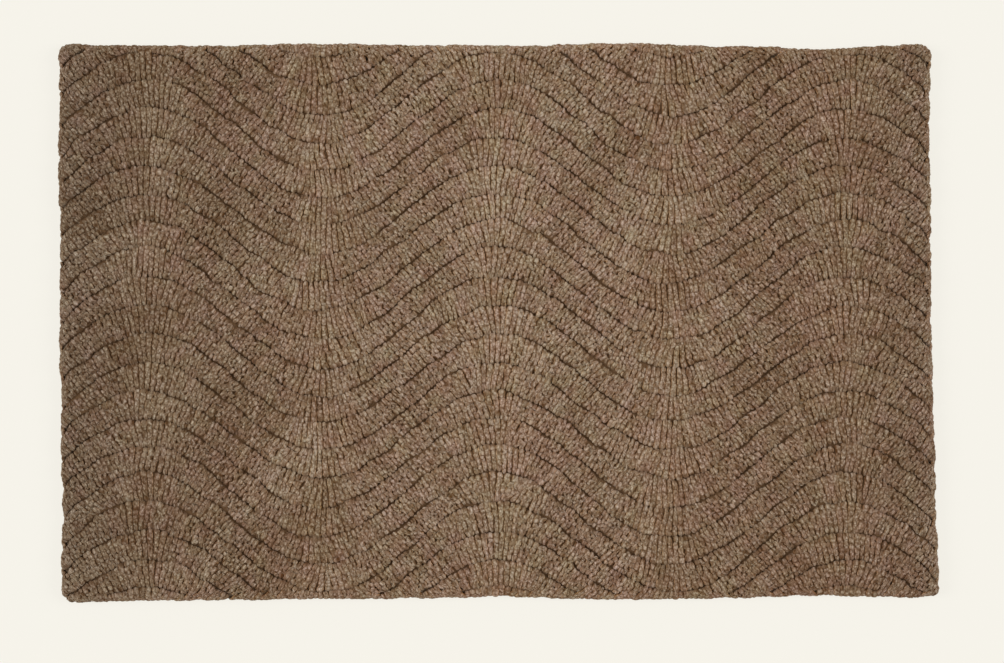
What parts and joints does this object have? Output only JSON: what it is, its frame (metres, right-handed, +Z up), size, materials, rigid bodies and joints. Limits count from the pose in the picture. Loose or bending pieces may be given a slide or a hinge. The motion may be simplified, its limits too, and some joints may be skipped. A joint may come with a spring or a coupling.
{
  "type": "doormat",
  "caption": "Flat rectangular doormat of looped wool pile in raised waving ribs, with uneven hand-made edges and a plain flat underside.",
  "frame": {"origin": "middle of the mat's box, on the underside, at the height of the surface that it lies on", "axes": "+X along the long side, +Y across the mat, +Z up out of the pile"},
  "size_m": [0.7072, 0.4488, 0.013],
  "materials": {
    "wool_pile": "matt heathered taupe-brown looped wool"
  },
  "bodies": {
    "root": {"mat": "wool_pile"}
  },
  "joints": []
}
